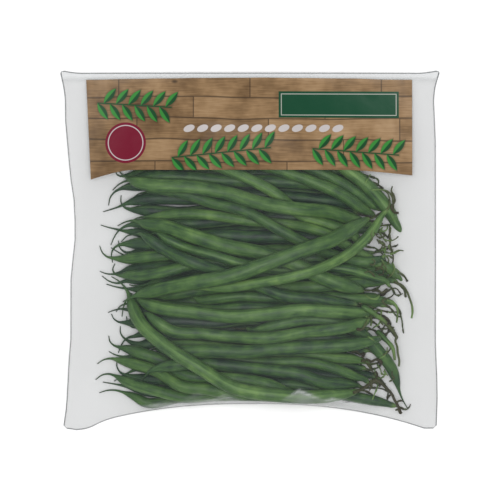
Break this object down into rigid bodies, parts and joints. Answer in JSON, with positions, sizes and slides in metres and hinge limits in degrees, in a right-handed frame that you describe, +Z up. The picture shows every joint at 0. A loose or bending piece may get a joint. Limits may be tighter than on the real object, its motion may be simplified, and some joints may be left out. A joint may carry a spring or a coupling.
{
  "type": "green bean bundle",
  "caption": "Fine green beans laid side by side in a flat clear film bag, tails to one side and stalks to the other, with a printed band across the top.",
  "frame": {"origin": "on the surface that the bag lies on, under the middle of the bag", "axes": "+X towards the stalk ends of the beans, +Y towards the top of the bag, +Z up, out of the front film"},
  "size_m": [0.2105, 0.2009, 0.0352],
  "materials": {
    "pod_mid_green": "fresh bean pod, mid green, satin",
    "pod_dark_green": "fresh bean pod, dark green, satin",
    "pod_light_green": "fresh bean pod, light green, satin",
    "clear_film": "clear film, slightly milky, glossy",
    "printed_film": "printed film, satin"
  },
  "bodies": {
    "root": {"bean_01": "pod_mid_green", "bean_02": "pod_dark_green", "bean_03": "pod_light_green", "bean_04": "pod_mid_green", "bean_05": "pod_dark_green", "bean_06": "pod_light_green", "bean_07": "pod_mid_green", "bean_08": "pod_dark_green", "bean_09": "pod_light_green", "bean_10": "pod_mid_green", "bean_11": "pod_dark_green", "bean_12": "pod_light_green", "bean_13": "pod_mid_green", "bean_14": "pod_dark_green", "bean_15": "pod_light_green", "bean_16": "pod_mid_green", "bean_17": "pod_dark_green", "bean_18": "pod_light_green", "bean_19": "pod_mid_green", "bean_20": "pod_dark_green", "bean_21": "pod_light_green", "bean_22": "pod_mid_green", "bean_23": "pod_dark_green", "bean_24": "pod_light_green", "bean_25": "pod_mid_green", "bean_26": "pod_dark_green", "bean_27": "pod_light_green", "bean_28": "pod_mid_green", "bean_29": "pod_dark_green", "bean_30": "pod_light_green", "bean_31": "pod_mid_green", "bean_32": "pod_dark_green", "bean_33": "pod_light_green", "bean_34": "pod_mid_green", "bean_35": "pod_dark_green", "bean_36": "pod_light_green", "bean_37": "pod_mid_green", "bean_38": "pod_dark_green", "bean_39": "pod_light_green", "bean_40": "pod_mid_green", "bean_41": "pod_dark_green", "bean_42": "pod_light_green", "bean_43": "pod_mid_green", "bean_44": "pod_dark_green", "bean_45": "pod_light_green", "bean_46": "pod_mid_green", "bean_47": "pod_dark_green", "bean_48": "pod_light_green", "bean_49": "pod_mid_green", "bean_50": "pod_dark_green", "bean_51": "pod_light_green", "bean_52": "pod_mid_green", "bean_53": "pod_dark_green", "bean_54": "pod_light_green", "bean_55": "pod_mid_green", "bean_56": "pod_dark_green", "bean_57": "pod_light_green", "film_front": "clear_film", "film_back": "clear_film", "header_label": "printed_film"}
  },
  "joints": []
}
